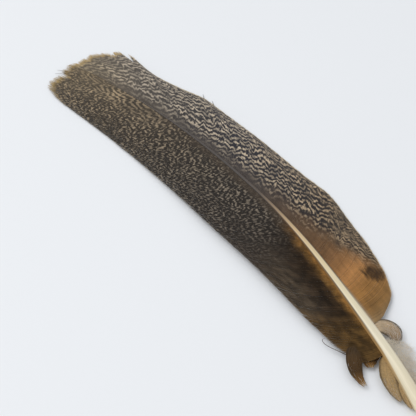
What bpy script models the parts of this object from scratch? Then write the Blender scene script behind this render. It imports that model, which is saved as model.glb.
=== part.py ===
# A peacock's wing quill, lying on a table with its patterned side up.
# One grown piece: the shaft, the two vanes in overlapping locks of barbs, and the
# curled locks at their base, joined in one closed solid.

import math

import bpy
import bmesh
import numpy as np

# Frame
# The plan below is in millimetres: x runs from the quill's end to the feather's tip,
# y to the darker vane, z up from the table. BOX_MIDDLE puts the box's middle at x = y = 0.
MM = 0.001
BOX_MIDDLE = (178.9, -19.3)

# Shaft: the bare quill is a round tube, and the rachis after it tapers to nothing
QUILL_RADIUS = 3.5
SHAFT_SIDES = 12
SHAFT_RINGS = 46
SHAFT_CROWDING = 1.25  # above 1, the rings stand closer together at the quill's end
# Each row: x, y and the height of the shaft's middle
SHAFT_LINE = (
    (0.0, 0.0, 3.6),
    (24.0, -5.4, 3.4),
    (49.0, -11.1, 3.4),
    (71.0, -15.6, 4.0),
    (96.0, -19.1, 4.9),
    (118.0, -21.8, 5.7),
    (135.0, -23.6, 6.4),
    (155.0, -25.3, 7.1),
    (184.0, -26.2, 7.9),
    (226.0, -24.0, 8.2),
    (275.0, -18.2, 6.8),
    (317.0, -10.1, 4.3),
    (340.0, -4.0, 2.4),
)
# Each row: x and the shaft's half width there, as a share of the quill's radius
SHAFT_TAPER = (
    (0.0, 0.34),
    (3.0, 0.68),
    (9.0, 0.92),
    (20.0, 1.0),
    (46.0, 1.0),
    (84.0, 0.93),
    (109.0, 0.79),
    (131.0, 0.69),
    (155.0, 0.54),
    (195.0, 0.31),
    (240.0, 0.22),
    (290.0, 0.16),
    (340.0, 0.10),
)

# Vanes: each row is where a barb leaves the shaft (its x), then the x, y and height of its end
LEFT_VANE = (
    (78.0, 82.0, -2.0, 2.9),
    (84.0, 93.0, 0.8, 3.1),
    (96.0, 113.0, 2.8, 3.5),
    (125.0, 156.0, 4.4, 4.0),
    (160.0, 196.0, 7.3, 3.4),
    (195.0, 233.0, 9.6, 2.2),
    (235.0, 273.0, 13.5, 0.8),
    (270.0, 309.0, 19.2, 0.5),
    (290.0, 334.0, 22.4, 0.5),
    (299.0, 347.5, 22.8, 0.5),
    (305.0, 351.2, 20.4, 0.5),
    (313.0, 352.8, 15.5, 0.5),
    (322.0, 353.4, 10.2, 0.5),
    (331.0, 357.6, 4.6, 0.6),
    (337.0, 357.6, 1.8, 0.8),
)
RIGHT_VANE = (
    (96.0, 98.5, -32.0, 2.6),
    (100.0, 105.0, -42.0, 2.0),
    (106.0, 115.0, -48.3, 1.6),
    (118.0, 136.0, -55.0, 0.8),
    (134.0, 161.5, -58.9, 0.6),
    (148.0, 180.5, -61.8, 0.5),
    (165.0, 200.5, -59.5, 0.5),
    (200.0, 239.0, -55.8, 0.5),
    (235.0, 274.5, -50.8, 0.5),
    (246.0, 285.5, -49.2, 0.5),
    (265.0, 303.0, -42.0, 0.5),
    (285.0, 325.0, -35.0, 0.5),
    (296.0, 343.5, -32.6, 0.5),
    (303.0, 351.3, -28.6, 0.5),
    (312.0, 355.5, -20.5, 0.5),
    (319.0, 358.6, -14.8, 0.5),
    (329.0, 357.4, -7.0, 0.6),
    (338.0, 357.5, 2.4, 0.8),
)
VANE_LOCKS = 27
LOCK_COLUMNS = (0.0, 0.5, 0.93)  # across one lock
BARB_ROWS = (-0.04, 0.06, 0.22, 0.42, 0.64, 0.85, 1.0)  # from inside the shaft to the edge
VANE_THICKNESS = 0.6
LOCK_RIPPLE = 0.35  # how far one side of a lock lies over its neighbour
BARB_BULGE = 0.10  # how far a barb bows away from the tip, as a share of its length
STRAIGHT_FROM = 312.0  # barbs that leave the shaft past this x lose their bow, to meet at the tip
BARB_DROOP = 1.3  # above 1, a barb stays high near the shaft and falls towards its end
VANE_OVERLAP = 0.5  # how far each vane reaches past the shaft's middle line
VANE_SEAT = 0.3  # where the vanes meet the shaft, as a share of its radius above its middle
LEFT_LIFT = 0.2  # the left vane lies this much over the right one where they meet
LOCK_NOTCH = 0.7  # depth of the nick between two locks along the vane's sides
TIP_NOTCH = 2.6  # the same across the worn tip
TIP_FROM = 338.0  # the x where the worn tip starts
NOTCH_CENTRE = 0.45  # where a lock reaches furthest, across its width
RIPPLE_FROM = 0.25  # the share of a barb's length over which the overlap of the locks grows

# Base locks: where each leaves the shaft, its side (1 left, -1 right), its first heading from
# straight out (degrees, positive to the tip), its turn to the base (degrees), its length,
# its width and its height above the shaft's middle at its end
BASE_LOCKS = (
    (92.5, -1, 38.0, 205.0, 25.5, 9.5, -1.6),
    (84.0, -1, -20.0, 70.0, 24.0, 7.5, -2.0),
    (75.0, -1, -30.0, 60.0, 22.0, 7.0, -2.0),
    (66.0, -1, -42.0, 45.0, 19.0, 6.0, -1.8),
    (93.0, 1, -8.0, 92.0, 42.0, 8.2, -1.6),
    (87.0, 1, -18.0, 62.0, 20.0, 10.5, -1.8),
    (78.0, 1, -52.0, 42.0, 33.0, 8.0, -1.2),
    (64.0, 1, -62.0, 30.0, 22.0, 5.0, -1.6),
)
BASE_LOCK_ROWS = 9
BASE_LOCK_THICKNESS = 0.7
BASE_LOCK_SEAT = 0.2  # height of its root over the shaft's middle
BASE_LOCK_CROWN = 0.06  # how far its sides lie lower than its middle, as a share of its width
BASE_LOCK_ENDS = (0.16, 0.94)  # the stretch of half a sine wave that its outline follows


def remove_objects():
    for thing in list(bpy.data.objects):
        bpy.data.objects.remove(thing, do_unlink=True)


def follow(rows, places):
    """Read a smooth curve through rows, whose first column says how far along each row is."""
    table = np.asarray(rows, float)
    knots, values = table[:, 0], table[:, 1:]
    slopes = np.gradient(values, knots, axis=0)
    places = np.atleast_1d(np.asarray(places, float))
    i = np.clip(np.searchsorted(knots, places) - 1, 0, len(knots) - 2)
    gap = (knots[i + 1] - knots[i])[:, None]
    t = (places[:, None] - knots[i][:, None]) / gap
    ahead = t * t * (3.0 - 2.0 * t)
    return (
        values[i] * (1.0 - ahead)
        + values[i + 1] * ahead
        + slopes[i] * gap * t * (1.0 - t) ** 2
        - slopes[i + 1] * gap * t * t * (1.0 - t)
    )


def shaft_middle(x):
    """The shaft's middle line at each x, as x, y, z."""
    x = np.atleast_1d(np.asarray(x, float))
    return np.column_stack([x, follow(SHAFT_LINE, x)])


def shaft_radius(x):
    return QUILL_RADIUS * follow(SHAFT_TAPER, x)[:, 0]


def across(points):
    """Unit directions in plan, a quarter turn left of a line of points."""
    step = np.gradient(points[:, :2], axis=0)
    step /= np.linalg.norm(step, axis=1)[:, None]
    return np.column_stack([-step[:, 1], step[:, 0], np.zeros(len(step))])


def mesh_object(name, points, faces):
    """An object from points in plan millimetres, with its faces pointing out."""
    mesh = bpy.data.meshes.new(name)
    shifted = (np.asarray(points) - np.array([*BOX_MIDDLE, 0.0])) * MM
    mesh.from_pydata(shifted.tolist(), [], faces)
    bm = bmesh.new()
    bm.from_mesh(mesh)
    bmesh.ops.recalc_face_normals(bm, faces=bm.faces)
    bm.to_mesh(mesh)
    bm.free()
    thing = bpy.data.objects.new(name, mesh)
    bpy.context.scene.collection.objects.link(thing)
    return thing


def sheet_object(name, top, thickness):
    """A closed sheet from a grid of top points, shape (columns, rows, 3)."""
    bottom = top.copy()
    bottom[:, :, 2] = np.maximum(bottom[:, :, 2] - thickness, 0.0)
    columns, rows = top.shape[:2]
    index = np.arange(columns * rows).reshape(columns, rows)
    below = index + columns * rows
    faces = []
    for c in range(columns - 1):
        for r in range(rows - 1):
            faces.append((index[c, r], index[c + 1, r], index[c + 1, r + 1], index[c, r + 1]))
            faces.append((below[c, r], below[c, r + 1], below[c + 1, r + 1], below[c + 1, r]))
    around = [(c, 0) for c in range(columns - 1)]
    around += [(columns - 1, r) for r in range(rows - 1)]
    around += [(c, rows - 1) for c in range(columns - 1, 0, -1)]
    around += [(0, r) for r in range(rows - 1, 0, -1)]
    for here, there in zip(around, around[1:] + around[:1]):
        faces.append((index[there], index[here], below[here], below[there]))
    points = np.concatenate([top.reshape(-1, 3), bottom.reshape(-1, 3)])
    return mesh_object(name, points, [tuple(int(i) for i in face) for face in faces])


def make_shaft():
    """The tapering shaft, round at the quill, with one flat side down."""
    ends = SHAFT_LINE[0][0], SHAFT_LINE[-1][0]
    share = np.linspace(0.0, 1.0, SHAFT_RINGS) ** SHAFT_CROWDING
    x = ends[0] + (ends[1] - ends[0]) * share
    middle = shaft_middle(x)
    side = across(middle)
    radius = shaft_radius(x)
    turn = 2.0 * math.pi * (np.arange(SHAFT_SIDES) + 0.5) / SHAFT_SIDES
    out = radius[:, None, None] * np.sin(turn)[None, :, None] * side[:, None, :]
    up = radius[:, None] * -np.cos(turn)[None, :]
    rings = middle[:, None, :] + out
    rings[:, :, 2] = np.maximum(rings[:, :, 2] + up, 0.0)
    faces = []
    for r in range(SHAFT_RINGS - 1):
        for s in range(SHAFT_SIDES):
            t = (s + 1) % SHAFT_SIDES
            a, b = r * SHAFT_SIDES, (r + 1) * SHAFT_SIDES
            faces.append((a + s, a + t, b + t, b + s))
    faces.append(tuple(range(SHAFT_SIDES)))
    faces.append(tuple(range((SHAFT_RINGS - 1) * SHAFT_SIDES, SHAFT_RINGS * SHAFT_SIDES)))
    return mesh_object("feather", rings.reshape(-1, 3), faces)


def vane_columns(rows):
    """Where each column of a vane leaves the shaft, and its place across its lock."""
    first, last = rows[0][0], rows[-1][0]
    lock = np.repeat(np.arange(VANE_LOCKS), len(LOCK_COLUMNS))
    across_lock = np.tile(LOCK_COLUMNS, VANE_LOCKS)
    root_x = first + (last - first) * (lock + across_lock) / (VANE_LOCKS - 1 + LOCK_COLUMNS[-1])
    return root_x, across_lock


def make_vane(name, rows, lift):
    """A vane: bowed barbs from the shaft to the edge, drooping to the table, in locks."""
    root_x, across_lock = vane_columns(rows)
    root = shaft_middle(root_x)
    end = follow(rows, root_x)
    sideways = np.sign(end[0, 1] - root[0, 1])
    root -= sideways * VANE_OVERLAP * across(root)
    root[:, 2] += VANE_SEAT * shaft_radius(root_x) + lift
    reach = end - root
    length = np.linalg.norm(reach[:, :2], axis=1)
    tip = end[:, 0] > TIP_FROM
    notch = np.where(tip, TIP_NOTCH, LOCK_NOTCH) * (2.0 * (across_lock - NOTCH_CENTRE)) ** 2
    end = end - reach * (notch / length)[:, None]
    reach = end - root
    straighten = np.clip((rows[-1][0] - root_x) / (rows[-1][0] - STRAIGHT_FROM), 0.0, 1.0)
    bow = np.column_stack([-reach[:, 1], reach[:, 0]]) * sideways * BARB_BULGE
    bow *= straighten[:, None]
    t = np.asarray(BARB_ROWS)
    top = root[:, None, :] + reach[:, None, :] * t[None, :, None]
    top[:, :, :2] += bow[:, None, :] * (4.0 * t * (1.0 - t))[None, :, None]
    droop = np.clip(t, 0.0, 1.0) ** BARB_DROOP
    top[:, :, 2] = root[:, 2:] + reach[:, 2:] * droop[None, :]
    grown = np.clip(t / RIPPLE_FROM, 0.0, 1.0)
    top[:, :, 2] += LOCK_RIPPLE * (1.0 - across_lock)[:, None] * grown[None, :]
    return sheet_object(name, top, VANE_THICKNESS)


def make_base_lock(name, root_x, side, heading, turn, length, width, rise):
    """One curled lock: a leaf-shaped strip along an arc that turns towards the base."""
    share = np.linspace(0.0, 1.0, BASE_LOCK_ROWS)
    line = shaft_middle([root_x, root_x + 1.0])
    left = across(line)[0]
    along = np.array([left[1], -left[0], 0.0])
    angle = np.radians(heading - turn * share)
    steps = np.sin(angle)[:, None] * along + np.cos(angle)[:, None] * left * side
    walk = np.cumsum(steps, axis=0) * length / BASE_LOCK_ROWS
    centre = line[0] + walk - walk[0]
    centre[:, 2] += rise * share + BASE_LOCK_SEAT
    near, far = BASE_LOCK_ENDS
    half = 0.5 * width * np.sin(math.pi * (near + (far - near) * share))
    sides = np.array([-1.0, 0.0, 1.0])
    top = centre[None, :, :] + sides[:, None, None] * half[None, :, None] * across(centre)
    top[:, :, 2] -= BASE_LOCK_CROWN * width * np.abs(sides)[:, None]
    return sheet_object(name, top, BASE_LOCK_THICKNESS)


def join_to(body, parts):
    """Unite the parts with the body, and keep them as guides only."""
    for part in parts:
        cut = body.modifiers.new(part.name, "BOOLEAN")
        cut.operation = "UNION"
        cut.object = part
        part.hide_render = True
        part.display_type = "WIRE"


def feather_material():
    material = bpy.data.materials.new("feather")
    material.use_nodes = True
    shader = material.node_tree.nodes["Principled BSDF"]
    shader.inputs["Base Color"].default_value = (0.115, 0.082, 0.056, 1.0)
    shader.inputs["Roughness"].default_value = 0.6
    shader.inputs["Metallic"].default_value = 0.0
    return material


def main():
    remove_objects()
    feather = make_shaft()
    parts = [
        make_vane("left_vane_form", LEFT_VANE, LEFT_LIFT),
        make_vane("right_vane_form", RIGHT_VANE, 0.0),
    ]
    for number, row in enumerate(BASE_LOCKS, start=1):
        parts.append(make_base_lock(f"base_lock_form_{number}", *row))
    join_to(feather, parts)
    feather.data.materials.append(feather_material())
    feather.data.shade_smooth()
    feather.data.set_sharp_from_angle(angle=math.radians(35.0))


main()
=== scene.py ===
import math

import bpy
import numpy as np
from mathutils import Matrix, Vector


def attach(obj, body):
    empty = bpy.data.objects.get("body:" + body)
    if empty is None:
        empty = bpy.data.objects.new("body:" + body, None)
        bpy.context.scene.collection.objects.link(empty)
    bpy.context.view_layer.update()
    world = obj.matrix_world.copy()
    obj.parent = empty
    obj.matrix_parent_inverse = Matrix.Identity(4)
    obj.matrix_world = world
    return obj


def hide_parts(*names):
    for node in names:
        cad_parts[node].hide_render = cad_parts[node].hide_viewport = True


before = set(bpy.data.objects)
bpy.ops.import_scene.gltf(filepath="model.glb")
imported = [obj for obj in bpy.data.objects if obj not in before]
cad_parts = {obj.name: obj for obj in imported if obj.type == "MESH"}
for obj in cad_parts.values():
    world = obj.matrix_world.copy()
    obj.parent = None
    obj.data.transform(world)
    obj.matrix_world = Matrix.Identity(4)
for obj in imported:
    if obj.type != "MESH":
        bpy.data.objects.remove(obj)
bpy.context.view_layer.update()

scene = bpy.context.scene
scene.view_settings.view_transform = "Standard"

# All plan values are millimetres: x from the quill's end to the tip, y to the darker vane, z up
plan = {
    "unit": 0.001,
    "boxMiddle": (178.9, -19.3),
    "quillRadius": 3.5,
    # x, y and height of the shaft's middle
    "shaftLine": ((0, 0, 3.6), (24, -5.4, 3.4), (49, -11.1, 3.4), (71, -15.6, 4), (96, -19.1, 4.9),
                  (118, -21.8, 5.7), (135, -23.6, 6.4), (155, -25.3, 7.1), (184, -26.2, 7.9),
                  (226, -24, 8.2), (275, -18.2, 6.8), (317, -10.1, 4.3), (340, -4, 2.4)),
    # x and half width as a share of the quill's radius
    "shaftTaper": ((0, 0.34), (3, 0.68), (9, 0.92), (20, 1), (46, 1), (84, 0.93), (109, 0.79), (131, 0.69),
                   (155, 0.54), (195, 0.31), (240, 0.22), (290, 0.16), (340, 0.10)),
}


# Curves and places

def follow(rows, places):  # a cubic through each row's values, with the slope of the rows beside it
    table = np.asarray(rows, float)
    knots, values = table[:, 0], table[:, 1:]
    slopes = np.gradient(values, knots, axis=0)
    places = np.atleast_1d(np.asarray(places, float))
    i = np.clip(np.searchsorted(knots, places) - 1, 0, len(knots) - 2)
    gap = (knots[i + 1] - knots[i])[:, None]
    t = (places[:, None] - knots[i][:, None]) / gap
    ahead = t * t * (3.0 - 2.0 * t)
    return (values[i] * (1.0 - ahead) + values[i + 1] * ahead
            + slopes[i] * gap * t * (1.0 - t) ** 2 - slopes[i + 1] * gap * t * t * (1.0 - t))


def shaftMiddle(x):  # x, y, z of the shaft's middle at each x
    x = np.atleast_1d(np.asarray(x, float))
    return np.column_stack([x, follow(plan["shaftLine"], x)])


def shaftRadius(x):  # the quill's radius times the taper at each x
    return plan["quillRadius"] * follow(plan["shaftTaper"], x)[:, 0]


def leftOf(points):  # unit vectors a quarter turn left of a line, in plan
    step = np.gradient(points[:, :2], axis=0)
    step /= np.linalg.norm(step, axis=1)[:, None]
    return np.column_stack([-step[:, 1], step[:, 0], np.zeros(len(step))])


def smoothStep(low, high, x):  # 0 below low, 1 above high, an S curve between
    t = np.clip((x - low) / (high - low), 0.0, 1.0)
    return t * t * (3.0 - 2.0 * t)


def waver(x, size, seed, count=4096, start=37.0):
    # smooth random values from -1 to 1, with a new one of count draws every size millimetres
    draws = np.random.default_rng(seed).uniform(-1.0, 1.0, count)
    place = np.asarray(x) / size + start
    low = np.floor(place).astype(int)
    t = smoothStep(0.0, 1.0, place - low)
    return draws[low % count] * (1.0 - t) + draws[(low + 1) % count] * t


def unit(v):  # vectors scaled to length 1
    return v / np.maximum(np.linalg.norm(v, axis=-1, keepdims=True), 1e-9)


def lengthsAlong(lines):  # millimetres from each line's start to each of its points
    steps = np.linalg.norm(np.diff(lines, axis=1), axis=2)
    return np.concatenate([np.zeros((len(lines), 1)), np.cumsum(steps, axis=1)], axis=1)


def placesOf(first, along, own):  # for each point: first, millimetres along, and the barb's own number
    return np.stack(np.broadcast_arrays(first[:, None], along, own[:, None]), axis=-1)


# Meshes

def makeObject(name, points, faces, vectors, corners):
    # points in plan millimetres; vectors: attribute name to one vector a point; corners: a UV pair a corner
    mesh = bpy.data.meshes.new(name)
    place = (points - np.array([*plan["boxMiddle"], 0.0])) * plan["unit"]
    mesh.from_pydata(place, [], faces)
    for key, values in vectors.items():
        layer = mesh.attributes.new(key, "FLOAT_VECTOR", "POINT")
        layer.data.foreach_set("vector", np.ascontiguousarray(values, dtype=np.float32).ravel())
    sheet = mesh.uv_layers.new(name="OFBake")
    sheet.data.foreach_set("uv", np.ascontiguousarray(corners, dtype=np.float32).ravel())
    mesh.shade_smooth()
    mesh.update()
    thing = bpy.data.objects.new(name, mesh)
    scene.collection.objects.link(thing)
    return thing


bakeSheet = {
    # each barb is a narrow column, this much of which it fills on either side of its middle
    "half": 0.46,
    # where the rows of the barbs' tops, edges and undersides start, and how long they are
    "starts": (0.51, 0.01, 0.26),
    "lengths": (0.48, 0.23, 0.23),
}


def ribbons(name, centre, half, ring, side, place, share):
    # One closed ribbon a barb: a small ring of (across, height, 1 if below) points is carried along each
    # centre line. across is in half widths, towards the next barb, and height in millimetres.
    count, stations = centre.shape[:2]
    ringAcross, ringHeight, under = np.array(ring, float).T
    tangent = unit(np.gradient(centre, axis=1))
    across = unit(np.cross(tangent, np.array([0.0, 0.0, 1.0]))) * side
    normal = unit(np.cross(across, tangent)) * side
    thin = np.clip(half / np.maximum(half.max(axis=1, keepdims=True), 1e-9), 0.1, 1.0)
    points = (centre[:, :, None, :]
              + across[:, :, None, :] * (half[:, :, None] * ringAcross)[..., None]
              + normal[:, :, None, :] * (thin[:, :, None] * ringHeight)[..., None])
    points[..., 2] = np.maximum(points[..., 2], 0.0)
    # Each face joins two neighbours on one ring with the same two on the next, turned to face outwards.
    index = np.arange(count * stations * len(ring)).reshape(count, stations, len(ring))
    a, b = index[:, :-1], index[:, 1:]
    order, turn = ([0, 1, 2, 3], -1) if side > 0 else ([0, 3, 2, 1], 1)
    quads = np.stack([a, np.roll(a, -1, axis=2), np.roll(b, -1, axis=2), b], axis=-1)
    quads = quads[..., order].reshape(-1, 4)
    faces = quads.tolist() + index[:, 0, ::turn].tolist() + index[:, -1, ::-turn].tolist()
    data = np.empty((count, stations, len(ring), 3))
    data[..., 0] = share[..., None]
    data[..., 1] = ringAcross
    data[..., 2] = under
    wide = np.repeat(place[:, :, None, :], len(ring), axis=2)
    vectors = {"barbPlace": wide.reshape(-1, 3), "barbShare": data.reshape(-1, 3)}
    # On the bake sheet no face covers another, and both end caps are lines at the ends of the top's row.
    row = (under + np.roll(under, -1)).astype(int)
    aside = bakeSheet["half"] * np.clip(ringAcross, -1.0, 1.0)
    column = (np.arange(count)[:, None, None] + 0.5 + aside) / count
    u = np.broadcast_to(column, a.shape)
    t = np.linspace(0.0, 1.0, stations)[None, :, None]
    v = np.array(bakeSheet["starts"])[row] + np.array(bakeSheet["lengths"])[row] * t
    nextU = np.roll(u, -1, axis=2)
    v, nextV = np.broadcast_to(v[:, :-1], a.shape), np.broadcast_to(v[:, 1:], a.shape)
    sheet = np.stack([u, v, nextU, v, nextU, nextV, u, nextV], axis=-1)
    sheet = sheet.reshape(-1, 4, 2)[:, order].reshape(-1, 2)
    caps = [np.stack(np.broadcast_arrays(column[:, 0, ::step], rowEnd), axis=-1).reshape(-1, 2)
            for rowEnd, step in ((v[0, 0, 0], turn), (nextV[0, -1, 0], -turn))]
    return makeObject(name, points.reshape(-1, 3), faces, vectors, np.concatenate([sheet, *caps]))


# Material nodes

def put(tree, kind, sockets=None, **settings):  # adds a node, sets it, and links or sets its sockets
    made = tree.nodes.new(kind)
    for key, value in settings.items():
        setattr(made, key, value)
    for key, value in (sockets or {}).items():
        if isinstance(value, bpy.types.NodeSocket):
            tree.links.new(value, made.inputs[key])
        else:
            made.inputs[key].default_value = value
    return made


def sums(tree, operation, a, b=0.0, c=0.0):
    return put(tree, "ShaderNodeMath", {0: a, 1: b, 2: c}, operation=operation).outputs[0]


def product(tree, *factors):
    result = factors[0]
    for factor in factors[1:]:
        result = sums(tree, "MULTIPLY", result, factor)
    return result


def minus(tree, a, b):
    return sums(tree, "SUBTRACT", a, b)


def ease(tree, value, low, high, toLow=0.0, toHigh=1.0):  # an S curve from toLow at low to toHigh at high
    return put(tree, "ShaderNodeMapRange",
               {"Value": value, "From Min": low, "From Max": high, "To Min": toLow, "To Max": toHigh},
               interpolation_type="SMOOTHSTEP").outputs["Result"]


def split(tree, vector):
    return put(tree, "ShaderNodeSeparateXYZ", {0: vector}).outputs


def flatten(tree, parts):  # a place without its z
    return put(tree, "ShaderNodeCombineXYZ", {"X": parts["X"], "Y": parts["Y"]}).outputs[0]


def paint(colour):  # an sRGB colour out of 255 as linear light
    shares = np.array(colour) / 255.0
    linear = np.where(shares > 0.04045, ((shares + 0.055) / 1.055) ** 2.4, shares / 12.92)
    return (*linear.tolist(), 1.0)


def blend(tree, factor, a, b):  # colour a where factor is 0, b where it is 1
    # inputs 0, 6 and 7 are the factor and the two colours, and output 2 is their mix
    a, b = (paint(colour) if isinstance(colour, tuple) else colour for colour in (a, b))
    return put(tree, "ShaderNodeMix", {0: factor, 6: a, 7: b}, data_type="RGBA").outputs[2]


def stepped(tree, value, stops):  # a ramp from 0 to the last stop's value; stops: value and linear colour
    span = stops[-1][0]
    made = put(tree, "ShaderNodeValToRGB", {"Fac": sums(tree, "DIVIDE", value, span)})
    elements = made.color_ramp.elements
    elements.remove(elements[1])
    elements[0].position, elements[0].color = stops[0][0] / span, stops[0][1]
    for place, colour in stops[1:]:
        elements.new(place / span).color = colour
    return made.outputs["Color"]


def ramp(tree, value, stops):  # stops: value and sRGB colour out of 255
    return stepped(tree, value, [(place, paint(colour)) for place, colour in stops])


def profile(tree, value, stops):  # stops: value and result
    top = max(result for place, result in stops)
    greys = [(place, (result / top, result / top, result / top, 1.0)) for place, result in stops]
    return product(tree, stepped(tree, value, greys), top)


def noise(tree, where, stretch, detail, offset=0.0):  # about 0.5, with one feature every 1 / stretch
    moved = put(tree, "ShaderNodeVectorMath", {0: where, 1: stretch, 2: (offset, offset, 0.0)},
                operation="MULTIPLY_ADD").outputs[0]
    return put(tree, "ShaderNodeTexNoise", {"Vector": moved, "Scale": 1.0, "Detail": detail},
               noise_dimensions="2D").outputs[0]


def streaks(tree, where, scale, detail):  # about 0.5, in three dimensions
    return put(tree, "ShaderNodeTexNoise", {"Vector": where, "Scale": scale, "Detail": detail}).outputs[0]


def between(tree, share, a, b):  # a where share is 0, b where it is 1
    return sums(tree, "MULTIPLY_ADD", share, minus(tree, b, a), a)


def swing(tree, value, size):  # (value - 0.5) size
    return product(tree, minus(tree, value, 0.5), size)


def dim(tree, colour, factor):
    return put(tree, "ShaderNodeVectorMath", {0: colour, "Scale": factor}, operation="SCALE").outputs[0]


def newGroup(name, inputs, outputs):
    tree = bpy.data.node_groups.new(name, "ShaderNodeTree")
    for key, value in inputs.items():
        kind = "NodeSocketVector" if isinstance(value, tuple) else "NodeSocketFloat"
        socket = tree.interface.new_socket(key, in_out="INPUT", socket_type=kind)
        socket.default_value = value
    for key in outputs:
        tree.interface.new_socket(key, in_out="OUTPUT", socket_type="NodeSocketFloat")
    return tree, tree.nodes.new("NodeGroupInput").outputs, tree.nodes.new("NodeGroupOutput").inputs


def results(tree, group, **sockets):
    return put(tree, "ShaderNodeGroup", sockets, node_tree=group).outputs


patterns = {
    # the bars' noises: features a millimetre along the shaft and the barb, detail and offset
    "kink": ((0.11, 0.035, 0), 2),
    "rough": ((0.42, 0.16, 0), 1, 31),
    "breaks": ((0.36, 0.5, 0), 2, 67),
    # a barb's barbules, streaks (scale and detail) and ridge
    "barbulesPerMillimetre": 7,
    "barbuleSlant": 0.35,
    "grainStreaks": (1.1, 3),
    "ridge": (0.05, 0.4, 1, 0),
    # the worn edge's noise (scale and detail), and where it is full, as a share of Reach
    "wornStreaks": (0.5, 3),
    "fullyWorn": 0.25,
}


def makeWavyBars():
    # Broken zigzag lines across the barbs: cos(2 pi f / Period) above a level, where f is the distance along
    # the barb plus Lean times the distance along the shaft, bent by a wide and a fine noise (Kink and Rough
    # millimetres) and shifted up to Jitter from barb to barb. A third noise moves the level, by Breaks.
    tree, given, out = newGroup("wavyBars", {
        "Place": (0.0, 0.0, 0.0), "Period": 3.0, "Lean": 0.46, "Kink": 12.0, "Rough": 5.0, "Jitter": 0.7,
        "Level": 0.35, "Breaks": 3.0, "Soft": 0.4}, ("Mask",))
    parts = split(tree, given["Place"])
    flat = flatten(tree, parts)
    along = sums(tree, "MULTIPLY_ADD", parts["X"], given["Lean"], parts["Y"])
    bend = swing(tree, noise(tree, flat, *patterns["kink"]), given["Kink"])
    small = swing(tree, noise(tree, flat, *patterns["rough"]), given["Rough"])
    shift = swing(tree, parts["Z"], given["Jitter"])
    phase = sums(tree, "ADD", sums(tree, "ADD", along, bend), sums(tree, "ADD", small, shift))
    turns = product(tree, sums(tree, "DIVIDE", phase, given["Period"]), math.tau)
    cut = swing(tree, noise(tree, flat, *patterns["breaks"]), given["Breaks"])
    level = minus(tree, sums(tree, "COSINE", turns), sums(tree, "ADD", cut, given["Level"]))
    low = product(tree, given["Soft"], -1.0)
    tree.links.new(ease(tree, level, low, given["Soft"]), out["Mask"])
    return tree


def makeBarbGrain():
    # Each barb's own tone, its ridge, and the slanting hair lines of its barbules
    tree, given, out = newGroup("barbGrain", {
        "Place": (0.0, 0.0, 0.0), "Share": (0.0, 0.0, 0.0), "Spread": 0.25, "Hairs": 0.25}, ("Tone", "Height"))
    place = split(tree, given["Place"])
    aside = sums(tree, "ABSOLUTE", split(tree, given["Share"])["Y"])
    own = put(tree, "ShaderNodeTexWhiteNoise", {"W": place["Z"]}, noise_dimensions="1D").outputs["Value"]
    streak = streaks(tree, given["Place"], *patterns["grainStreaks"])
    tone = sums(tree, "ADD", swing(tree, own, given["Spread"]), swing(tree, streak, given["Spread"]))
    tree.links.new(sums(tree, "ADD", tone, 1.0), out["Tone"])
    slant = sums(tree, "MULTIPLY_ADD", aside, patterns["barbuleSlant"], place["Y"])
    hair = sums(tree, "SINE", product(tree, slant, math.tau * patterns["barbulesPerMillimetre"]))
    ridge = ease(tree, aside, *patterns["ridge"])
    tree.links.new(sums(tree, "MULTIPLY_ADD", hair, given["Hairs"], ridge), out["Height"])
    return tree


def makeWornEdge():
    # 1 at the barb's end and 0 from Reach millimetres inside it, with a border moved by a noise of Uneven.
    # The distance to the end is along (1 / share - 1).
    tree, given, out = newGroup("wornEdge", {
        "Place": (0.0, 0.0, 0.0), "Share": (0.0, 0.0, 0.0), "Reach": 4.0, "Uneven": 4.0}, ("Mask",))
    share = sums(tree, "MAXIMUM", split(tree, given["Share"])["X"], 0.01)
    along = split(tree, given["Place"])["Y"]
    toEnd = product(tree, minus(tree, sums(tree, "DIVIDE", 1.0, share), 1.0), along)
    rough = streaks(tree, given["Place"], *patterns["wornStreaks"])
    moved = sums(tree, "ADD", toEnd, swing(tree, rough, given["Uneven"]))
    near = product(tree, given["Reach"], patterns["fullyWorn"])
    tree.links.new(ease(tree, moved, near, given["Reach"], 1.0, 0.0), out["Mask"])
    return tree


wavyBars = makeWavyBars()
barbGrain = makeBarbGrain()
wornEdge = makeWornEdge()


def startMaterial(name, roughness, specular):
    material = bpy.data.materials.new(name)
    material.use_nodes = True
    tree = material.node_tree
    shader = tree.nodes["Principled BSDF"]
    shader.inputs["Roughness"].default_value = roughness
    shader.inputs["Specular IOR Level"].default_value = specular
    return material, tree, shader


def startBarbs(name, roughness, specular):
    material, tree, shader = startMaterial(name, roughness, specular)
    place = put(tree, "ShaderNodeAttribute", attribute_name="barbPlace").outputs["Vector"]
    share = put(tree, "ShaderNodeAttribute", attribute_name="barbShare").outputs["Vector"]
    return material, tree, shader, place, share


def coat(tree, shader, colour, height, values):
    tree.links.new(colour, shader.inputs["Base Color"])
    raised = put(tree, "ShaderNodeBump",
                 {"Strength": values["bump"], "Distance": values["bumpHeight"], "Height": height})
    tree.links.new(raised.outputs[0], shader.inputs["Normal"])


barbFinish = {
    "bump": 0.35,
    "bumpHeight": 0.00008,
    # how much of the underside's colour shows below
    "below": 0.7,
    # how much of the rim's colour shows where an edge is worn, and how uneven its border is
    "wear": 0.88,
    "unevenWear": 0.8,
}


def finishBarbs(tree, shader, colour, place, share, looks):
    grain = results(tree, barbGrain, Place=place, Share=share, Spread=looks["spread"])
    below = product(tree, split(tree, share)["Z"], barbFinish["below"])
    colour = dim(tree, blend(tree, below, colour, looks["under"]), grain["Tone"])
    coat(tree, shader, colour, grain["Height"], barbFinish)


def wearEnds(tree, colour, x, place, share, looks):
    reach = profile(tree, x, looks["rimReach"])
    uneven = product(tree, reach, barbFinish["unevenWear"])
    worn = results(tree, wornEdge, Place=place, Share=share, Reach=reach, Uneven=uneven)["Mask"]
    return blend(tree, product(tree, worn, barbFinish["wear"]), colour, ramp(tree, x, looks["rim"]))


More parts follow.
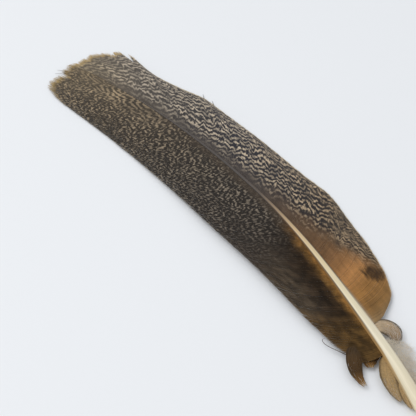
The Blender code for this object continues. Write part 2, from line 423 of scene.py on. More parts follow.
def bars(tree, place, values):
    return results(tree, wavyBars, Place=place, **values)["Mask"]


def patches(tree, where, values):  # an eased noise; values: the noise's three, then ease's four
    return ease(tree, noise(tree, where, *values[:3]), *values[3:])


def drift(tree, where, values):  # a noise as a distance; values: the noise's three, then its size
    return swing(tree, noise(tree, where, *values[:3]), values[3])


# Vanes

barbRing = ((-1.0, -0.03, 0), (-0.25, 0.08, 0), (0.2, 0.08, 0), (1.25, -0.12, 0), (0.4, -0.2, 1),
            (-0.6, -0.14, 1))

leftVane = {
    "side": 1,
    "barbs": 430,
    "lift": 0.2,
    "seed": 11,
    # where a barb leaves the shaft, then the x, y and height of its end
    "rows": ((78, 82, -2, 2.9), (84, 93, 0.8, 3.1), (96, 113, 2.8, 3.5), (125, 156, 4.4, 4),
             (160, 196, 7.3, 3.4), (195, 233, 9.6, 2.2), (235, 273, 13.5, 0.8), (270, 309, 19.2, 0.5),
             (281, 322.8, 21.8, 0.5), (290, 334, 23.6, 0.5), (296, 341.6, 24, 0.5), (300, 347, 22.8, 0.5),
             (305, 350.6, 20.4, 0.5), (313, 352.8, 15.5, 0.5), (322, 353.4, 10.2, 0.5),
             (331, 357.6, 4.6, 0.6), (337, 357.6, 1.8, 0.8)),
    # where a split starts on the shaft, its width at the edge and its depth as a share of the barb
    "splits": ((319.5, 0.9, 0.12), (303, 0.5, 0.08), (246, 0.3, 0.08), (180, 0.3, 0.1), (101, 0.5, 0.15)),
    # dips in the worn tip: where on the shaft, half width there and depth, below 0 for a lobe
    "dips": ((320.5, 2, 2.6), (309, 1, 0.8), (328.5, 0.9, 1.3), (324.5, 1.6, -0.9)),
}

rightVane = {
    "side": -1,
    "barbs": 420,
    "lift": 0,
    "seed": 23,
    "rows": ((96, 98.5, -32, 2.6), (100, 105, -42, 2), (106, 115, -48.3, 1.6), (118, 136, -55, 0.8),
             (134, 161.5, -58.9, 0.6), (148, 180.5, -61.8, 0.5), (165, 200.5, -59.5, 0.5),
             (200, 239, -55.8, 0.5), (235, 274.5, -50.8, 0.5), (246, 285.5, -49.2, 0.5),
             (265, 303, -42, 0.5), (285, 325, -35, 0.5), (296, 343.5, -32.6, 0.5), (303, 351.3, -28.6, 0.5),
             (312, 355.5, -20.5, 0.5), (319, 358.6, -14.8, 0.5), (329, 357.4, -7, 0.6),
             (338, 357.5, 2.4, 0.8)),
    "splits": ((298.8, 3.4, 0.24), (249, 0.4, 0.05), (214, 0.3, 0.06), (113, 0.4, 0.08), (333, 0.5, 0.15)),
    "dips": ((307.5, 1.6, 2.6), (333.5, 1.1, 1.9), (326.5, 0.7, 1), (315, 0.8, 1.2), (302, 1.8, -0.9)),
}

vaneForm = {
    "stations": 31,
    "locks": 27,
    "bulge": 0.10,
    "straightFrom": 312,
    "droop": 1.3,
    "overlap": 0.5,
    "seat": 0.3,
    "lockRipple": 0.16,
    "lockRippleIn": 0.4,
    "rootJitter": 0.12,
    # the worn tip's zone, by the x of the barbs' ends
    "tipZone": (332, 342),
    # how far the ends vary along the sides and at the tip, as two waves (share and size) and a draw
    "ragged": 0.3,
    "tipRagged": 1.3,
    "raggedWaves": ((0.4, 2.2), (0.3, 0.7)),
    "raggedDraw": (0.3, -1, 0.4),
    # how long the loose ends are at the tip and along the sides, and how far they sway and lift
    "tipThinned": 4,
    "sideThinned": 1.2,
    "sway": 0.3,
    "sideSway": 0.4,
    "tipLift": 0.5,
    # how far along the shaft a split pushes the barbs apart, and how its width grows to the edge
    "splitReach": 5,
    "splitGrowth": 1.2,
    # a barb's width as a share of its spacing, at the shaft and at its loose end, and the spacing's limits
    "width": (1.08, 0.40),
    "spacing": (0.12, 1.6),
}


def barbLines(vane):
    # A barb leaves the shaft at its root and bows to its end: root + reach t + bow 4 t (1 - t),
    # falling with t to the power of droop. Splits push the ends apart on both sides of a place.
    form, side, rows = vaneForm, vane["side"], vane["rows"]
    draw = np.random.default_rng(vane["seed"])
    first, last = rows[0][0], rows[-1][0]
    gap = (last - first) / (vane["barbs"] - 1)
    jitter = draw.uniform(-form["rootJitter"], form["rootJitter"], vane["barbs"])
    rootX = np.clip(np.linspace(first, last, vane["barbs"]) + jitter * gap, first, last)
    root = shaftMiddle(rootX)
    root -= side * form["overlap"] * leftOf(root)
    root[:, 2] += form["seat"] * shaftRadius(rootX) + vane["lift"]
    end = follow(rows, rootX)
    reach = end - root
    length = np.linalg.norm(reach[:, :2], axis=1)
    tip = smoothStep(*form["tipZone"], end[:, 0])
    size = form["ragged"] + (form["tipRagged"] - form["ragged"]) * tip
    part, lowest, highest = form["raggedDraw"]
    extra = size * part * draw.uniform(lowest, highest, len(rootX))
    for n, (part, wide) in enumerate(form["raggedWaves"]):
        extra += size * part * waver(rootX, wide, vane["seed"] + n)
    for place, width, depth in vane["dips"]:
        extra -= depth * np.exp(-(((rootX - place) / width) ** 2))
    reach = reach * (1.0 + extra / length)[:, None]
    straighten = np.clip((last - rootX) / (last - form["straightFrom"]), 0.0, 1.0)
    bow = np.column_stack([-reach[:, 1], reach[:, 0]]) * side * form["bulge"] * straighten[:, None]
    t = np.linspace(0.0, 1.0, form["stations"])
    centre = root[:, None, :] + reach[:, None, :] * t[None, :, None]
    centre[:, :, :2] += bow[:, None, :] * (4.0 * t * (1.0 - t))[None, :, None]
    centre[:, :, 2] = root[:, 2:] + reach[:, 2:] * (t ** form["droop"])[None, :]
    lock = (rootX - first) / (last - first) * form["locks"]
    below = form["lockRipple"] * (1.0 - lock + np.floor(lock))
    centre[:, :, 2] += below[:, None] * smoothStep(0.0, form["lockRippleIn"], t)[None, :]
    toNext = np.gradient(centre, axis=0)
    tangent = unit(np.gradient(centre, axis=1))
    sideways = toNext - tangent * np.sum(toNext * tangent, axis=2, keepdims=True)
    spacing = np.linalg.norm(sideways, axis=2)
    sideways = unit(sideways)
    for place, width, depth in vane["splits"]:
        away = rootX - place
        push = np.sign(away) * 0.5 * width * np.exp(-np.abs(away) / form["splitReach"])
        grow = smoothStep(1.0 - depth, 1.0, t) ** form["splitGrowth"]
        centre += sideways * push[:, None, None] * grow[None, :, None]
    along = lengthsAlong(centre)
    thinned = (form["sideThinned"] + (form["tipThinned"] - form["sideThinned"]) * tip)[:, None]
    loose = smoothStep(0.0, 1.0, 1.0 - (along[:, -1:] - along) / thinned)
    loosest = form["sideSway"] + (1.0 - form["sideSway"]) * tip
    sway = draw.normal(0.0, form["sway"], len(rootX))[:, None] * loose * loosest[:, None]
    centre += sideways * sway[..., None]
    centre[:, :, 2] += (draw.uniform(0.0, form["tipLift"], len(rootX)) * tip)[:, None] * loose
    place = placesOf(rootX, along, draw.uniform(0.0, 1.0, len(rootX)))
    widest, narrowest = form["width"]
    half = 0.5 * np.clip(spacing, *form["spacing"]) * (widest + (narrowest - widest) * loose)
    return centre, half, place, np.repeat(t[None, :], len(rootX), axis=0)


def makeVane(name, vane):
    centre, half, place, share = barbLines(vane)
    return ribbons(name, centre, half, barbRing, vane["side"], place, share)


# In the tables of looks below, the first value of a row is millimetres along the shaft from the quill's end.
# Two or four plain values are an S curve's start and end, and the results before and after it, in millimetres
# along the shaft, or along the barb where the name says outward. A noise's stretch, detail and offset stand
# before them, or before its size.
rightLooks = {
    "gloss": (0.54, 0.24),
    # the bars' dark colour along the shaft, with a painted bluish sheen from 185 to 225 millimetres
    "dark": ((96, (96, 72, 40)), (110, (72, 56, 38)), (125, (52, 44, 38)), (150, (46, 41, 40)),
             (185, (48, 46, 49)), (225, (50, 49, 56)), (265, (64, 61, 61)), (300, (88, 82, 76)),
             (340, (104, 95, 80))),
    "light": ((96, (156, 130, 92)), (110, (168, 145, 114)), (125, (164, 142, 113)), (150, (188, 164, 132)),
              (185, (200, 180, 153)), (225, (204, 188, 165)), (265, (203, 188, 167)),
              (300, (192, 179, 161)), (340, (172, 154, 124))),
    "plain": ((96, (152, 124, 86)), (103, (142, 106, 60)), (114, (154, 111, 60)), (124, (180, 130, 78)),
              (131, (152, 110, 67)), (139, (126, 92, 59)), (150, (113, 85, 58)), (170, (98, 78, 60)),
              (200, (80, 72, 67)), (260, (82, 76, 72)), (340, (104, 94, 82))),
    # how far out the plain zone reaches
    "plainReach": ((96, 40), (106, 34), (112, 29), (120, 23.5), (130, 18.5), (139, 15.5), (153, 11.5),
                   (170, 8.5), (207, 6), (241, 4.5), (290, 3), (340, 2)),
    "rootZone": (172, 152, 128),
    # the worn tip and, along the sides, the ends' thin pale line
    "rim": ((96, (196, 168, 126)), (130, (222, 206, 176)), (290, (216, 200, 168)), (302, (186, 160, 110)),
            (340, (184, 158, 110))),
    "rimReach": ((96, 1.8), (286, 2.6), (298, 5), (338, 6.5)),
    "under": (150, 138, 124),
    # each barb's own tone
    "spread": 0.22,
    # three kinds of bars and where each one shows
    "bold": {"Period": 4.2, "Lean": 0.42, "Kink": 15, "Rough": 4.2, "Jitter": 0.5, "Breaks": 4.4,
             "Soft": 0.75},
    "boldLevel": (150, 225, 0.58, 0.34),
    "fine": {"Period": 2.7, "Lean": 0.42, "Kink": 11, "Rough": 4, "Jitter": 0.7, "Level": 0.3,
             "Breaks": 4.2, "Soft": 0.7},
    "fineOutward": (32, 58, 0, 0.6),
    "fineLow": (122, 160, 1, 0),
    "tiny": {"Period": 2.2, "Lean": 0.42, "Kink": 9, "Rough": 3.4, "Jitter": 0.6, "Level": 0.24,
             "Breaks": 3.4, "Soft": 0.5},
    "tinyLow": (112, 152, 1, 0),
    "strength": ((0.09, 0.12, 0), 3, 11, 0.32, 0.64, 0.45, 1),
    "strengthLow": (104, 120, 0.3, 1),
    # the plain zone's uneven border and cloudy tone
    "borderDrift": ((0.14, 0.2, 0), 3, 5, 10),
    "patternOutward": (-5, 11),
    "cloud": ((0.1, 0.25, 0), 4, 23, 0.25, 0.75, 0.82, 1.15),
    # how far out the roots' pale zone reaches
    "rootReach": ((96, 4.5), (117, 3.8), (130, 2.6), (142, 1.2), (160, 0)),
    "rootOutward": (-1, 1.2, 0.8, 0),
    "shadeOutward": (0.7, 2, 0.7, 1.16),
}

darkSpot = {
    "colour": (54, 36, 16),
    # millimetres along the shaft and out along the barb
    "middle": (114.5, 25.2),
    "radii": (3.4, 7.4),
    # cosine and sine of its turn
    "turn": (0.77, 0.64),
    "drift": ((0.3, 0.45, 0), 3, 3, 2.8),
    "fade": (0, 2.2, 0.92, 0),
}


def addSpot(tree, colour, x, y, flat):
    # a turned ellipse (d / first radius)^2 + (e / second radius)^2 = 1 with a soft, uneven border,
    # where d = cosine fromX + sine fromY and e = cosine fromY - sine fromX
    (first, second), (cosine, sine) = darkSpot["radii"], darkSpot["turn"]
    fromX = minus(tree, x, darkSpot["middle"][0])
    fromY = minus(tree, y, darkSpot["middle"][1])
    d = sums(tree, "MULTIPLY_ADD", fromX, cosine / first, product(tree, fromY, sine / first))
    e = sums(tree, "MULTIPLY_ADD", fromY, cosine / second, product(tree, fromX, -sine / second))
    far = sums(tree, "ADD", product(tree, d, d), product(tree, e, e))
    far = sums(tree, "ADD", far, drift(tree, flat, darkSpot["drift"]))
    return blend(tree, ease(tree, far, *darkSpot["fade"]), colour, darkSpot["colour"])


def rightVaneMaterial():
    looks = rightLooks
    material, tree, shader, place, share = startBarbs("rightVane", *looks["gloss"])
    at = split(tree, place)
    x, y, flat = at["X"], at["Y"], flatten(tree, at)
    bold = bars(tree, place, {"Level": ease(tree, x, *looks["boldLevel"]), **looks["bold"]})
    fineness = sums(tree, "MAXIMUM", ease(tree, y, *looks["fineOutward"]), ease(tree, x, *looks["fineLow"]))
    marks = between(tree, fineness, bold, bars(tree, place, looks["fine"]))
    marks = between(tree, ease(tree, x, *looks["tinyLow"]), marks, bars(tree, place, looks["tiny"]))
    marks = product(tree, marks, patches(tree, flat, looks["strength"]), ease(tree, x, *looks["strengthLow"]))
    # the dark bars carry a painted bluish sheen high on the vane
    outer = blend(tree, marks, ramp(tree, x, looks["dark"]), ramp(tree, x, looks["light"]))
    uneven = sums(tree, "ADD", y, drift(tree, flat, looks["borderDrift"]))
    past = minus(tree, uneven, profile(tree, x, looks["plainReach"]))
    plain = dim(tree, ramp(tree, x, looks["plain"]), patches(tree, flat, looks["cloud"]))
    colour = blend(tree, ease(tree, past, *looks["patternOutward"]), plain, outer)
    colour = addSpot(tree, colour, x, y, flat)
    colour = wearEnds(tree, colour, x, place, share, looks)
    fromRoots = minus(tree, y, profile(tree, x, looks["rootReach"]))
    colour = blend(tree, ease(tree, fromRoots, *looks["rootOutward"]), colour, looks["rootZone"])
    colour = dim(tree, colour, ease(tree, y, *looks["shadeOutward"]))
    finishBarbs(tree, shader, colour, place, share, looks)
    return material


leftLooks = {
    "gloss": (0.58, 0.16),
    "dark": ((78, (72, 54, 32)), (100, (64, 50, 34)), (130, (58, 49, 42)), (160, (54, 48, 43)),
             (200, (57, 52, 48)), (250, (66, 60, 54)), (300, (84, 76, 66)), (340, (108, 98, 82))),
    "light": ((78, (96, 74, 44)), (100, (92, 76, 58)), (130, (98, 88, 78)), (160, (124, 113, 101)),
              (190, (156, 143, 127)), (220, (166, 152, 133)), (260, (176, 158, 134)),
              (300, (192, 170, 139)), (340, (172, 152, 122))),
    # millimetres out from the shaft, low on the vane
    "band": ((0, (140, 102, 54)), (2.5, (158, 114, 60)), (5, (122, 89, 46)), (8, (62, 45, 26)),
             (12, (44, 32, 19)), (17, (62, 49, 36)), (24, (80, 68, 54))),
    "base": (92, 68, 34),
    "rim": ((78, (120, 98, 66)), (285, (160, 142, 112)), (300, (186, 160, 110)), (340, (184, 158, 110))),
    "rimReach": ((78, 0.9), (282, 1.2), (294, 5.5), (302, 7.5), (337, 6.5)),
    "under": (138, 126, 112),
    "spread": 0.3,
    # flecks, and lines near the tip
    "flecks": {"Period": 3.3, "Lean": 1.25, "Kink": 12, "Rough": 6, "Jitter": 0.9, "Level": 0.75,
               "Breaks": 4.4, "Soft": 0.65},
    "lines": {"Period": 3.7, "Lean": 0.3, "Kink": 12, "Rough": 3.4, "Jitter": 0.6, "Level": 0.3,
              "Breaks": 2.8, "Soft": 0.45},
    "linesHigh": (262, 300),
    "linesOutward": (8, 24, 1, 0),
    "strength": ((0.06, 0.08, 0), 1, 17, 0.3, 0.65, 0.55, 1),
    # the golden band's mottles, and where it shows, by x + lean y
    "mottle": ((0.17, 0.2, 0), 4, 41, 0.32, 0.7, 0.62, 1.45),
    "bandDrift": ((0.12, 0.2, 0), 3, 7, 5),
    "bandTone": (125, 165, 1, 0.72),
    "bandLean": 1.1,
    "bandLow": (150, 192, 1, 0),
    "baseLow": (94, 108, 0.85, 0),
    # a plain strip beside the upper shaft
    "strip": (86, 75, 64),
    "stripOutward": (3.5, 8, 0.8, 0),
    "stripHigh": (185, 320, 1, 0.2),
    "stripFrom": (160, 185),
    "shadeOutward": (0.7, 2, 0.53, 0.97),
}


def leftVaneMaterial():
    looks = leftLooks
    material, tree, shader, place, share = startBarbs("leftVane", *looks["gloss"])
    at = split(tree, place)
    x, y, flat = at["X"], at["Y"], flatten(tree, at)
    nearTip = product(tree, ease(tree, x, *looks["linesHigh"]), ease(tree, y, *looks["linesOutward"]))
    marks = between(tree, nearTip, bars(tree, place, looks["flecks"]), bars(tree, place, looks["lines"]))
    marks = product(tree, marks, patches(tree, flat, looks["strength"]))
    colour = blend(tree, marks, ramp(tree, x, looks["dark"]), ramp(tree, x, looks["light"]))
    # low down the flecks give way to soft mottles beside a golden band
    mottle = patches(tree, flat, looks["mottle"])
    moved = drift(tree, flat, looks["bandDrift"])
    bandTone = product(tree, mottle, ease(tree, x, *looks["bandTone"]))
    band = dim(tree, ramp(tree, sums(tree, "ADD", y, moved), looks["band"]), bandTone)
    leaning = sums(tree, "MULTIPLY_ADD", y, looks["bandLean"], x)
    colour = blend(tree, ease(tree, leaning, *looks["bandLow"]), colour, band)
    atBase = ease(tree, sums(tree, "ADD", x, moved), *looks["baseLow"])
    colour = blend(tree, atBase, colour, dim(tree, paint(looks["base"])[:3], mottle))
    strip = product(tree, ease(tree, y, *looks["stripOutward"]), ease(tree, x, *looks["stripHigh"]),
                    ease(tree, x, *looks["stripFrom"]))
    colour = blend(tree, strip, colour, looks["strip"])
    colour = wearEnds(tree, colour, x, place, share, looks)
    colour = dim(tree, colour, ease(tree, y, *looks["shadeOutward"]))
    finishBarbs(tree, shader, colour, place, share, looks)
    return material


left = makeVane("leftVane", leftVane)
left.data.materials.append(leftVaneMaterial())
right = makeVane("rightVane", rightVane)
right.data.materials.append(rightVaneMaterial())
print("vanes made:", len(left.data.polygons) + len(right.data.polygons), "faces")


# Curled tufts at the vanes' base

tuftForm = {
    "stations": 29,
    "pathSteps": 200,
    "seat": 0.2,
    "crown": 0.06,
    # the half width is a sine from the first of these shares of a half turn to the second
    "outline": (0.16, 0.94),
    "pathShare": 8 / 9,
    "sideJitter": 0.8,
    "barbTilt": 0.12,
    "waveSize": 3,
    "waveApart": 50,
    "narrowing": 0.6,
    "ring": ((-1, 0, 0), (0, 0.1, 0), (1, 0, 0), (0, -0.1, 1)),
    "gloss": (0.5, 0.3),
    "spread": 0.35,
    "streaks": (2.2, 3),
    "streakTone": (0.3, 0.7, 0.8, 1.15),
    "sideLine": (0.62, 0.92),
}

# A lock: where it leaves the shaft, its side, first heading and turn (degrees), length, width and rise.
# Colours: share of the lock's length and colour; rim is how light the lock's two side lines are.
tufts = {
    "rightCurl": {
        "locks": ((92.5, -1, 38, 205, 25.5, 9.5, -1.6),),
        "barbs": 70, "half": 0.13, "wave": 0.25, "shortest": 0.8, "seed": 3,
        "colours": ((0, (204, 184, 156)), (0.35, (202, 180, 150)), (0.75, (172, 144, 110)),
                    (1, (104, 78, 52))),
        "rim": 0.3, "under": (176, 162, 142),
    },
    "rightDown": {
        "locks": ((84, -1, -20, 70, 24, 7.5, -2), (75, -1, -30, 60, 22, 7, -2),
                  (66, -1, -42, 45, 19, 6, -1.8)),
        "barbs": 30, "half": 0.05, "wave": 0.7, "shortest": 0.55, "seed": 4,
        "colours": ((0, (240, 229, 210)), (0.5, (244, 234, 217)), (1, (250, 243, 232))),
        "rim": 0.97, "under": (238, 227, 210),
    },
    "tailLobe": {
        "locks": ((93, 1, -8, 92, 42, 8.2, -1.6), (87, 1, -18, 62, 20, 10.5, -1.8)),
        "barbs": 90, "half": 0.2, "wave": 0.25, "shortest": 0.82, "seed": 5,
        "colours": ((0, (68, 50, 27)), (0.4, (66, 48, 25)), (0.55, (86, 62, 31)), (0.75, (80, 56, 26)),
                    (0.9, (134, 98, 52)), (1, (204, 166, 108))),
        "rim": 0.7, "under": (150, 128, 96),
    },
    "lowerCurl": {
        "locks": ((78, 1, -52, 42, 33, 8, -1.2), (64, 1, -62, 30, 22, 5, -1.6)),
        "barbs": 80, "half": 0.16, "wave": 0.25, "shortest": 0.8, "seed": 6,
        "colours": ((0, (152, 122, 78)), (0.4, (176, 147, 102)), (1, (198, 170, 128))),
        "rim": 0.45, "under": (176, 162, 142),
    },
}


def lockLines(lock, values, seed):
    # Barbs side by side over one leaf-shaped lock. Its middle line walks along heading - turn t;
    # its half width is half the lock's width times sin(pi (near + (far - near) t)).
    rootX, side, heading, turn, length, width, rise = lock
    form = tuftForm
    draw = np.random.default_rng(seed)
    fine = np.linspace(0.0, 1.0, form["pathSteps"])
    pair = shaftMiddle([rootX, rootX + 1.0])
    out = leftOf(pair)[0]
    onward = np.array([out[1], -out[0], 0.0])
    angle = np.radians(heading - turn * fine)
    steps = np.sin(angle)[:, None] * onward + np.cos(angle)[:, None] * out * side
    walk = np.cumsum(steps, axis=0) * length * form["pathShare"] / len(fine)
    middle = pair[0] + walk - walk[0]
    middle[:, 2] += rise * fine + form["seat"]
    near, far = form["outline"]
    half = 0.5 * width * np.sin(math.pi * (near + (far - near) * fine))
    acrossMiddle = leftOf(middle)
    count = values["barbs"]
    jitter = draw.uniform(-form["sideJitter"], form["sideJitter"], count) / count
    spread = np.linspace(-1.0, 1.0, count) + jitter
    reach = draw.uniform(values["shortest"], 1.0, count)
    t = np.linspace(0.0, 1.0, form["stations"])
    share = t[None, :] * reach[:, None]

    def read(curve):
        return np.stack([np.interp(share, fine, curve[:, k]) for k in range(3)], axis=-1)

    wide = np.interp(share, fine, half) * spread[:, None]
    shake = waver(share * length + form["waveApart"] * np.arange(count)[:, None], form["waveSize"], seed)
    centre = read(middle) + read(acrossMiddle) * (wide + values["wave"] * t * shake)[..., None]
    centre[..., 2] -= form["crown"] * width * (spread ** 2)[:, None]
    centre[..., 2] += draw.uniform(-form["barbTilt"], form["barbTilt"], count)[:, None] * t
    place = placesOf(spread, lengthsAlong(centre), draw.uniform(0.0, 1.0, count))
    return centre, place, share


def tuftLines(name):
    values = tufts[name]
    parts = [lockLines(lock, values, values["seed"] + 10 * n) for n, lock in enumerate(values["locks"])]
    return [np.concatenate([part[k] for part in parts]) for k in range(3)]


def tapered(half, narrowing, count, stations):  # half widths that shrink to (1 - narrowing) of half
    return half * (1.0 - narrowing * np.linspace(0.0, 1.0, stations))[None, :] * np.ones((count, 1))


def makeTuft(name):
    centre, place, share = tuftLines(name)
    half = tapered(tufts[name]["half"], tuftForm["narrowing"], *share.shape)
    return ribbons(name, centre, half, tuftForm["ring"], 1, place, share)


def tuftMaterial(name, looks):
    looks = {**tuftForm, **looks}
    material, tree, shader, place, share = startBarbs(name, *looks["gloss"])
    colour = ramp(tree, split(tree, share)["X"], looks["colours"])
    streak = streaks(tree, place, *looks["streaks"])
    colour = dim(tree, colour, ease(tree, streak, *looks["streakTone"]))
    aside = sums(tree, "ABSOLUTE", split(tree, place)["X"])
    colour = dim(tree, colour, ease(tree, aside, *looks["sideLine"], 1.0, looks["rim"]))
    finishBarbs(tree, shader, colour, place, share, looks)
    return material


downHairs = {
    "perBarb": 34,
    "stations": 4,
    "length": (1.6, 3.4),
    "half": 0.028,
    "narrowing": 0.7,
    "ring": ((-1, 0, 0), (0, 0.04, 0), (1, 0, 1)),
    # where the first ones stand, as a share of the barb
    "from": 0.15,
    "lean": (0.3, 1.1),
    "lift": (-0.3, 0.35),
    "bend": 0.25,
    "lowest": 0.1,
    "seed": 8,
}


def makeDownHairs(name, source):
    # Short side hairs on both sides of each down barb, leaning to its end and drooping
    values = downHairs
    centre, place, share = tuftLines(source)
    draw = np.random.default_rng(values["seed"])
    rows = np.repeat(np.arange(len(centre)), values["perBarb"])
    where = draw.uniform(values["from"], 1.0, len(rows)) * (centre.shape[1] - 1.001)
    low = where.astype(int)
    part = (where - low)[:, None]
    start = centre[rows, low] * (1.0 - part) + centre[rows, low + 1] * part
    ahead = unit(centre[rows, low + 1] - centre[rows, low])
    up = np.array([0.0, 0.0, 1.0])
    aside = unit(np.cross(ahead, up)) * draw.choice([-1.0, 1.0], len(rows))[:, None]
    size = draw.uniform(*values["length"], len(rows))[:, None]
    lean = draw.uniform(*values["lean"], len(rows))[:, None]
    lift = draw.uniform(*values["lift"], len(rows))[:, None] * up
    toward = unit(aside + lean * ahead + lift)
    bend = draw.normal(0.0, values["bend"], (len(rows), 3))
    t = np.linspace(0.0, 1.0, values["stations"])
    bent = toward[:, None, :] * t[None, :, None] + bend[:, None, :] * (t ** 2)[None, :, None]
    lines = start[:, None, :] + size[:, None, :] * bent
    lines[..., 2] = np.maximum(lines[..., 2], values["lowest"])
    mark = np.repeat(place[rows, low][:, None, :], len(t), axis=1)
    along = np.repeat(share[rows, low][:, None], len(t), axis=1)
    half = tapered(values["half"], values["narrowing"], *along.shape)
    return ribbons(name, lines, half, values["ring"], 1, mark, along)


strayBarbs = {
    "half": 0.24,
    "narrowing": 0.7,
    "stations": 17,
    # plan points of single barbs that have come loose
    "lines": (
        ((84, -1.6, 3.4), (90, 0.9, 3.5), (96.9, 4.1, 3.5), (100.5, 5.1, 3.5), (102.8, 4.4, 3.6),
         (102.4, 2.9, 3.7)),
        ((349.5, 4.4, 1.1), (352.2, 8, 1.1), (354, 11.2, 1), (355.6, 13.9, 1)),
        ((351, 4.4, 1), (353.5, 7.2, 1), (356, 9.3, 0.9), (357.8, 11.1, 0.9)),
        ((279, -45, 1), (285, -47.9, 0.9), (287.5, -49.2, 0.8), (289.8, -50.2, 0.8)),
        ((272, -47.6, 1), (278.7, -50.2, 0.8), (281.9, -51.4, 0.7)),
    ),
    "colours": ((0, (70, 52, 33)), (1, (70, 52, 33))),
    "rim": 1,
    "under": (110, 92, 72),
}


def makeStrays(name):
    values = strayBarbs
    t = np.linspace(0.0, 1.0, values["stations"])
    lines = []
    for points in values["lines"]:
        knots = np.linspace(0.0, 1.0, len(points))
        lines.append(follow([(k, *p) for k, p in zip(knots, points)], t))
    centre = np.array(lines)
    share = np.repeat(t[None, :], len(lines), axis=0)
    place = placesOf(np.zeros(len(lines)), lengthsAlong(centre), np.linspace(0.1, 0.9, len(lines)))
    half = tapered(values["half"], values["narrowing"], *share.shape)
    return ribbons(name, centre, half, tuftForm["ring"], 1, place, share)


tuftPieces = []
for name, looks in tufts.items():
    piece = makeTuft(name)
    piece.data.materials.append(tuftMaterial(name, looks))
    tuftPieces.append(piece)
hairs = makeDownHairs("downHairs", "rightDown")
hairs.data.materials.append(bpy.data.materials["rightDown"])
strays = makeStrays("strayBarbs")
strays.data.materials.append(tuftMaterial("strayBarbs", strayBarbs))
tuftPieces += [hairs, strays]
print("tufts made:", sum(len(piece.data.polygons) for piece in tuftPieces), "faces")


# Shaft

shaft = {
    "rings": 260,
    "sides": 36,
    "squareness": 2.6,
    "groove": 0.35,
    "grooveWidth": 0.4,
    # where the round quill turns into the rachis, and how much closer the rings stand near the quill's end
    "rachisFrom": (70, 120),
    "crowding": 1.3,
    "sheetEdge": 0.005,
    "gloss": (0.36, 0.45),
    "colours": ((0, (214, 200, 168)), (40, (226, 214, 184)), (88, (232, 222, 196)), (120, (226, 212, 178)),
                (145, (220, 200, 160)), (165, (204, 176, 134)), (182, (150, 126, 98)), (198, (94, 81, 69)),
                (215, (77, 70, 66)), (270, (80, 73, 69)), (340, (98, 90, 80))),
    # the left flank's colour: partly the shaft's own golden brown, partly painted shade on its shaded side
    "flank": ((0, (214, 200, 168)), (50, (210, 192, 154)), (75, (176, 142, 92)), (110, (150, 112, 62)),
              (160, (106, 78, 45)), (200, (66, 57, 49)), (340, (80, 72, 65))),
    # the colour of the thin line of painted shade along the flank's top
    "line": ((120, (66, 49, 32)), (200, (40, 34, 30)), (340, (52, 46, 40))),
    "beneath": ((0, (214, 200, 168)), (100, (206, 188, 152)), (170, (170, 150, 122)),
                (230, (132, 118, 101)), (340, (134, 122, 106))),
    # how high the flank's colour reaches: 0 is the underside's middle and 1 the top
    "flankTop": ((0, 0.4), (50, 0.6), (80, 0.76), (131, 0.78), (170, 0.78), (215, 0.8)),
    "flankEdge": (-0.05, 0.03, 1, 0),
    # the dark line of painted shade along the flank's top: its width, where it starts, its core and its
    # strength
    "lineReach": (165, 205, 0.07, 0.15),
    "lineFrom": (70, 110),
    "lineEdge": 0.02,
    "lineStrength": 0.75,
    # the shade on the right: its colour, height and strength along the shaft
    "shade": (74, 58, 44),
    "shadeHeight": (0.83, 0.91, 1, 0),
    "shadeFrom": (85, 135, 0, 0.9),
    "beneathHeight": (0.2, 0.3, 1, 0),
    # streaks along it: stretch, scale and detail, tone, and bump with its height
    "streakStretch": (0.05, 12, 0),
    "streaks": (1, 4),
    "streakTone": (0.25, 0.75, 0.9, 1.06),
    "bump": 0.2,
    "bumpHeight": 0.0001,
}


def makeShaft():
    # Rings along the shaft's middle line: a circle at the quill, squarer and grooved beneath on the rachis
    values = shaft
    sides = values["sides"]
    share = np.linspace(0.0, 1.0, values["rings"])
    start, stop = plan["shaftLine"][0][0], plan["shaftLine"][-1][0]
    x = start + (stop - start) * (0.5 * share + 0.5 * share ** values["crowding"])
    middle = shaftMiddle(x)
    sideways = leftOf(middle)
    radius = shaftRadius(x)
    turn = math.tau * np.arange(sides) / sides
    fromBelow = np.minimum(turn, math.tau - turn)
    rachis = smoothStep(*values["rachisFrom"], x)
    power = 2.0 / (2.0 + (values["squareness"] - 2.0) * rachis)
    sine, cosine = np.sin(turn)[None, :], -np.cos(turn)[None, :]
    out = np.sign(sine) * np.abs(sine) ** power[:, None] * radius[:, None]
    up = np.sign(cosine) * np.abs(cosine) ** power[:, None] * radius[:, None]
    groove = values["groove"] * (rachis * radius)[:, None] * np.exp(-(fromBelow / values["grooveWidth"]) ** 2)
    points = middle[:, None, :] + sideways[:, None, :] * out[..., None]
    points[..., 2] = np.maximum(points[..., 2] + up + groove, 0.0)
    index = np.arange(len(x) * sides).reshape(len(x), sides)
    a, b = index[:-1], index[1:]
    quads = np.stack([a, np.roll(a, -1, axis=1), np.roll(b, -1, axis=1), b], axis=-1).reshape(-1, 4)
    faces = quads.tolist() + [index[0, ::-1].tolist(), index[-1].tolist()]
    # the bake sheet: u round the ring and v along the shaft, with both ends at a point of the top line
    edge = values["sheetEdge"]
    u, v = np.broadcast_arrays(np.arange(sides) / sides, share[:-1, None])
    nextU, nextV = np.broadcast_arrays(u + 1.0 / sides, share[1:, None])
    sheet = np.stack([u, v, nextU, v, nextU, nextV, u, nextV], axis=-1).reshape(-1, 2)
    sheet = edge + (1.0 - 2.0 * edge) * sheet
    caps = np.repeat([[0.5, edge], [0.5, 1.0 - edge]], sides, axis=0)
    # shaftPlace: x, the height round the ring from 0 below to 1 on top, and 1 on the left side
    data = np.zeros((len(x), sides, 3))
    data[..., 0] = x[:, None]
    data[..., 1] = fromBelow / math.pi
    data[..., 2] = turn < math.pi
    corners = np.concatenate([sheet, caps])
    return makeObject("shaft", points.reshape(-1, 3), faces, {"shaftPlace": data}, corners)


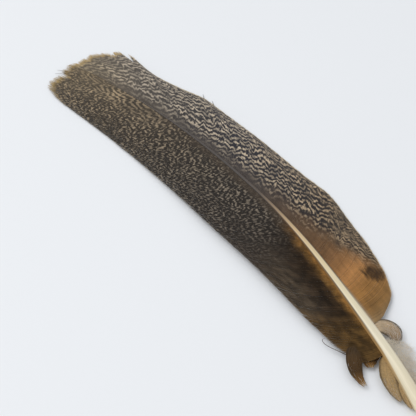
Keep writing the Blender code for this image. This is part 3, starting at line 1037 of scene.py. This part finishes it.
def shaftMaterial():
    values = shaft
    material, tree, shader = startMaterial("shaft", *values["gloss"])
    place = put(tree, "ShaderNodeAttribute", attribute_name="shaftPlace").outputs["Vector"]
    at = split(tree, place)
    x, height, onLeft = at["X"], at["Y"], at["Z"]
    # the left flank is coloured darker: partly its own golden brown, partly painted shade
    above = minus(tree, height, profile(tree, x, values["flankTop"]))
    flank = product(tree, ease(tree, above, *values["flankEdge"]), onLeft)
    colour = blend(tree, flank, ramp(tree, x, values["colours"]), ramp(tree, x, values["flank"]))
    # a thin dark line of painted shade borders the flank on the left, and painted shade lies along the right
    # vane's roots
    reach = ease(tree, x, *values["lineReach"])
    line = ease(tree, sums(tree, "ABSOLUTE", above), values["lineEdge"], reach, values["lineStrength"], 0.0)
    line = product(tree, line, onLeft, ease(tree, x, *values["lineFrom"]))
    colour = blend(tree, line, colour, ramp(tree, x, values["line"]))
    shade = product(tree, ease(tree, height, *values["shadeHeight"]), minus(tree, 1.0, onLeft),
                    ease(tree, x, *values["shadeFrom"]))
    colour = blend(tree, shade, colour, values["shade"])
    under = ease(tree, height, *values["beneathHeight"])
    colour = blend(tree, under, colour, ramp(tree, x, values["beneath"]))
    stretched = put(tree, "ShaderNodeVectorMath", {0: place, 1: values["streakStretch"]},
                    operation="MULTIPLY").outputs[0]
    streak = streaks(tree, stretched, *values["streaks"])
    colour = dim(tree, colour, ease(tree, streak, *values["streakTone"]))
    coat(tree, shader, colour, streak, values)
    return material


quill = makeShaft()
quill.data.materials.append(shaftMaterial())
print("shaft made:", len(quill.data.polygons), "faces")

for piece in [left, right, quill, *tuftPieces]:
    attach(piece, "root")
    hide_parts("feather")


# Floor, light and camera

studio = {
    "floor": (238, 240, 243),
    "floorReach": 3,
    "floorGap": 0.0001,
    "keyPlace": (0.5, 0.75, 1.6),
    "keySize": 1.3,
    "keyPower": 12.5,
    "world": (0.97, 0.985, 1),
    "worldStrength": 0.69,
    "cameraTarget": (0.0329, 0.0185, 0),
    "cameraDistance": 0.7144,
    "cameraElevation": 47,
    "cameraHeading": (0.8269, -0.5624),
    "lens": 112.5,
}


def makeStudio():
    mesh = bpy.data.meshes.new("floor")
    reach, below = studio["floorReach"], -studio["floorGap"]
    corners = [(-reach, -reach, below), (reach, -reach, below), (reach, reach, below), (-reach, reach, below)]
    mesh.from_pydata(corners, [], [(0, 1, 2, 3)])
    floor = bpy.data.objects.new("floor", mesh)
    scene.collection.objects.link(floor)
    material, tree, shader = startMaterial("floor", 0.7, 0.2)
    shader.inputs["Base Color"].default_value = paint(studio["floor"])
    mesh.materials.append(material)
    lamp = bpy.data.lights.new("key", "AREA")
    lamp.shape = "DISK"
    lamp.size = studio["keySize"]
    lamp.energy = studio["keyPower"]
    key = bpy.data.objects.new("key", lamp)
    key.location = studio["keyPlace"]
    key.rotation_euler = (-Vector(studio["keyPlace"])).to_track_quat("-Z", "Y").to_euler()
    scene.collection.objects.link(key)
    world = bpy.data.worlds.new("world")
    world.use_nodes = True
    world.node_tree.nodes["Background"].inputs[0].default_value = (*studio["world"], 1.0)
    world.node_tree.nodes["Background"].inputs[1].default_value = studio["worldStrength"]
    scene.world = world
    lens = bpy.data.cameras.new("camera")
    lens.lens = studio["lens"]
    lens.sensor_width = 36.0
    camera = bpy.data.objects.new("camera", lens)
    tilt = math.radians(studio["cameraElevation"])
    look = Vector((*[c * math.cos(tilt) for c in studio["cameraHeading"]], -math.sin(tilt)))
    camera.location = Vector(studio["cameraTarget"]) - look * studio["cameraDistance"]
    camera.rotation_euler = look.to_track_quat("-Z", "Y").to_euler()
    scene.collection.objects.link(camera)
    scene.camera = camera


makeStudio()
print("studio made")
